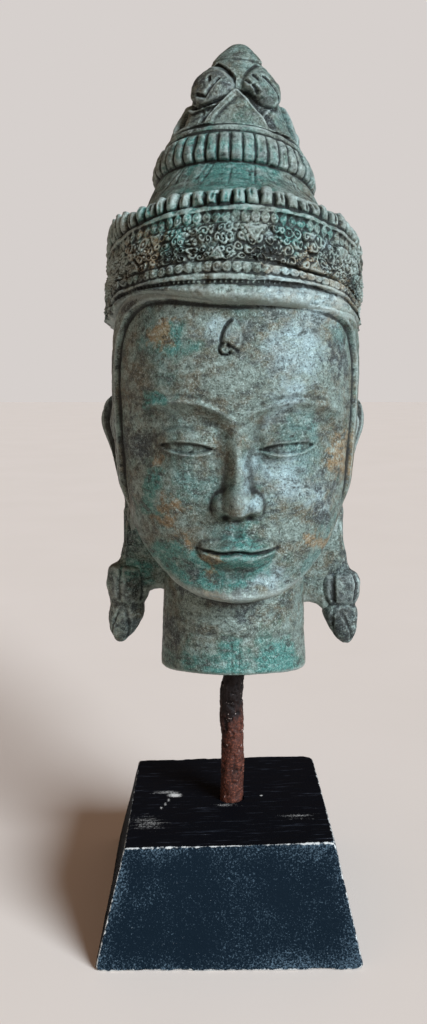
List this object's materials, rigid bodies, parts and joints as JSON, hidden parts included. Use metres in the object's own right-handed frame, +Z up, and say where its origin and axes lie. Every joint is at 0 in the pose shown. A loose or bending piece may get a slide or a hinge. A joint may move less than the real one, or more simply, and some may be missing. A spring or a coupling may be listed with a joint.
{
  "type": "bronze head on a stand",
  "caption": "Hollow-cast bronze head of the Buddha with topknot, crown and long ears, held by an iron rod in a tapered wooden block.",
  "frame": {"origin": "middle of the wooden block's underside", "axes": "+Z up along the rod, -Y the way the face looks, +X towards the object's left, the viewer's right"},
  "size_m": [0.1308, 0.1331, 0.406],
  "materials": {
    "bronze": "cast bronze with green and brown patina",
    "rod": "rusted",
    "block": "black paint, worn at the edges"
  },
  "bodies": {
    "root": {"bronze_head": "bronze", "iron_rod": "rod", "wood_block": "block"}
  },
  "joints": []
}
